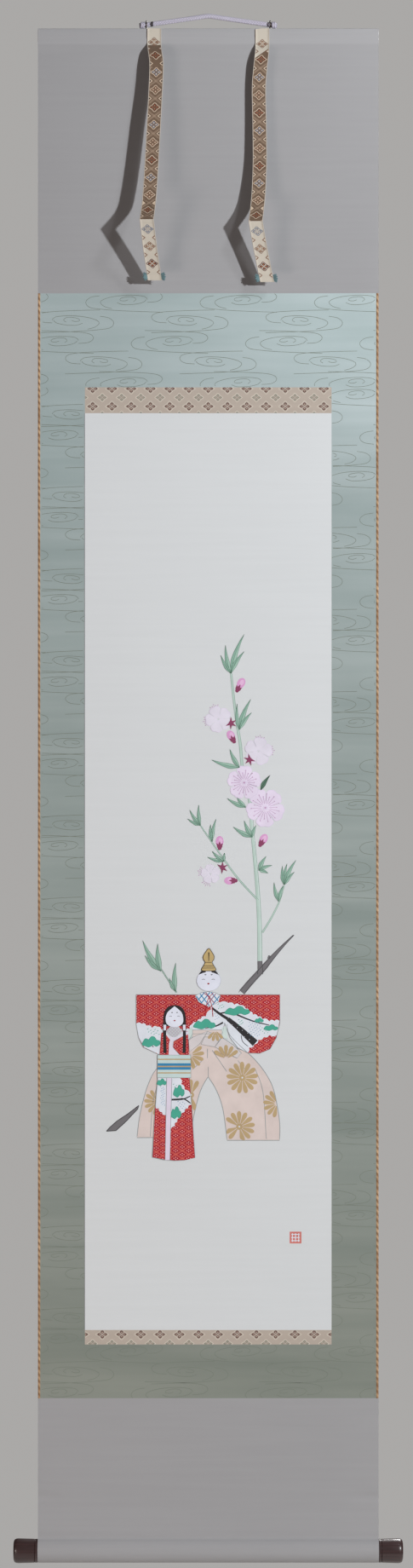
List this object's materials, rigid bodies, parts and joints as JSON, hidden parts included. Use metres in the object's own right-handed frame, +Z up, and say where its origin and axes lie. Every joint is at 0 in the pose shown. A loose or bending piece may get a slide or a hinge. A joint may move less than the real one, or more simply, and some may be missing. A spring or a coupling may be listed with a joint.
{
  "type": "hanging scroll",
  "caption": "Hanging scroll with a painted pair of standing paper dolls under peach blossom, framed in brocade and green silk, on a stave with cord and straps and a roller with dark knobs.",
  "frame": {"origin": "underside of the hanging cord at the middle of the top, where a hook carries the scroll", "axes": "+Z up, +X to the viewer's right, -Y towards the viewer, so the painted side faces -Y and the wall is at +Y"},
  "size_m": [0.497, 0.0663, 1.9778],
  "materials": {
    "painting_silk": "pale painting silk with a faint weave",
    "brocade": "beige and brown flower brocade",
    "strap_brocade": "brown and cream flower brocade",
    "tassel_thread": "blue-green silk thread",
    "green_silk": "pale blue-green figured silk",
    "ochre_edging": "ochre silk edging",
    "plain_silk": "plain light grey silk",
    "lining_paper": "matt lining paper",
    "cover_silk": "pale blue plain silk",
    "bare_wood": "planed cedar",
    "dark_wood": "dark lacquered wood",
    "dark_metal": "darkened brass",
    "braid": "pale braided silk cord"
  },
  "bodies": {
    "mounting": {"painting_sheet": "painting_silk", "brocade_band_top": "brocade", "brocade_band_bottom": "brocade", "green_border_top": "green_silk", "green_border_bottom": "green_silk", "green_column_left": "green_silk", "green_column_right": "green_silk", "edging_left": "ochre_edging", "edging_right": "ochre_edging", "heaven_silk": "plain_silk", "lining_paper": "lining_paper", "cover_silk": "cover_silk", "top_stave": "bare_wood", "stave_end_cloth_left": "plain_silk", "stave_end_cloth_right": "plain_silk", "eyelet_left": "dark_metal", "eyelet_right": "dark_metal", "hanging_cord": "braid", "cord_knot_left": "braid", "cord_knot_right": "braid", "strap_left_tab": "strap_brocade", "strap_right_tab": "strap_brocade"},
    "strap_left_fall": {"strap_left_upper": "strap_brocade"},
    "strap_left_end": {"strap_left_lower": "strap_brocade", "strap_left_tassels": "tassel_thread"},
    "strap_right_fall": {"strap_right_upper": "strap_brocade"},
    "strap_right_end": {"strap_right_lower": "strap_brocade", "strap_right_tassels": "tassel_thread"},
    "wind_band_1": {"earth_silk_1": "plain_silk", "earth_lining_1": "lining_paper"},
    "wind_band_2": {"earth_silk_2": "plain_silk", "earth_lining_2": "lining_paper"},
    "wind_band_3": {"earth_silk_3": "plain_silk", "earth_lining_3": "lining_paper"},
    "wind_band_4": {"earth_silk_4": "plain_silk", "earth_lining_4": "lining_paper"},
    "wind_band_5": {"earth_silk_5": "plain_silk", "earth_lining_5": "lining_paper"},
    "wind_band_6": {"earth_silk_6": "plain_silk", "earth_lining_6": "lining_paper"},
    "wind_band_7": {"earth_silk_7": "plain_silk", "earth_lining_7": "lining_paper"},
    "wind_band_8": {"earth_silk_8": "plain_silk", "earth_lining_8": "lining_paper"},
    "roller": {"pocket_silk": "plain_silk", "pocket_lining": "lining_paper", "roller_core": "bare_wood", "knob_left": "dark_wood", "knob_right": "dark_wood"}
  },
  "joints": [
    {"name": "wind_1", "type": "hinge", "parent": "mounting", "child": "wind_band_1", "pos_m": [0, -0.004, -1.7615], "axis": [-1, 0, 0], "range_deg": [0, 53.5]},
    {"name": "wind_2", "type": "hinge", "parent": "wind_band_1", "child": "wind_band_2", "pos_m": [0, -0.004, -1.7843], "axis": [-1, 0, 0], "range_deg": [0, 55]},
    {"name": "wind_3", "type": "hinge", "parent": "wind_band_2", "child": "wind_band_3", "pos_m": [0, -0.004, -1.8068], "axis": [-1, 0, 0], "range_deg": [0, 56.5]},
    {"name": "wind_4", "type": "hinge", "parent": "wind_band_3", "child": "wind_band_4", "pos_m": [0, -0.004, -1.829], "axis": [-1, 0, 0], "range_deg": [0, 58]},
    {"name": "wind_5", "type": "hinge", "parent": "wind_band_4", "child": "wind_band_5", "pos_m": [0, -0.004, -1.8509], "axis": [-1, 0, 0], "range_deg": [0, 59.5]},
    {"name": "wind_6", "type": "hinge", "parent": "wind_band_5", "child": "wind_band_6", "pos_m": [0, -0.004, -1.8725], "axis": [-1, 0, 0], "range_deg": [0, 61]},
    {"name": "wind_7", "type": "hinge", "parent": "wind_band_6", "child": "wind_band_7", "pos_m": [0, -0.004, -1.8938], "axis": [-1, 0, 0], "range_deg": [0, 62.5]},
    {"name": "wind_8", "type": "hinge", "parent": "wind_band_7", "child": "wind_band_8", "pos_m": [0, -0.004, -1.9148], "axis": [-1, 0, 0], "range_deg": [0, 64]},
    {"name": "roller_turn", "type": "hinge", "parent": "wind_band_8", "child": "roller", "pos_m": [0, -0.004, -1.9355], "axis": [-1, 0, 0], "range_deg": [0, 120]},
    {"name": "strap_left_swing", "type": "hinge", "parent": "mounting", "child": "strap_left_fall", "pos_m": [-0.069, -0.005, -0.0336], "axis": [-1, 0, 0], "range_deg": [-1.2, 80], "stiffness_Nm_per_rad": 0.03, "springref_deg": 4.58},
    {"name": "strap_left_crease", "type": "hinge", "parent": "strap_left_fall", "child": "strap_left_end", "pos_m": [-0.078, -0.05487, -0.26427], "axis": [-1, 0, 0], "range_deg": [-3, 150], "stiffness_Nm_per_rad": 0.01},
    {"name": "strap_right_swing", "type": "hinge", "parent": "mounting", "child": "strap_right_fall", "pos_m": [0.069, -0.005, -0.0336], "axis": [-1, 0, 0], "range_deg": [-1.2, 80], "stiffness_Nm_per_rad": 0.03, "springref_deg": 4.58},
    {"name": "strap_right_crease", "type": "hinge", "parent": "strap_right_fall", "child": "strap_right_end", "pos_m": [0.06, -0.03823, -0.26422], "axis": [-1, 0, 0], "range_deg": [-3, 150], "stiffness_Nm_per_rad": 0.01}
  ],
  "couplings": [
    {"joint": "wind_2", "follows": "wind_1", "ratio": 1.028},
    {"joint": "wind_3", "follows": "wind_1", "ratio": 1.0561},
    {"joint": "wind_4", "follows": "wind_1", "ratio": 1.0841},
    {"joint": "wind_5", "follows": "wind_1", "ratio": 1.1121},
    {"joint": "wind_6", "follows": "wind_1", "ratio": 1.1402},
    {"joint": "wind_7", "follows": "wind_1", "ratio": 1.1682},
    {"joint": "wind_8", "follows": "wind_1", "ratio": 1.1963},
    {"joint": "roller_turn", "follows": "wind_1", "ratio": 2.243}
  ]
}
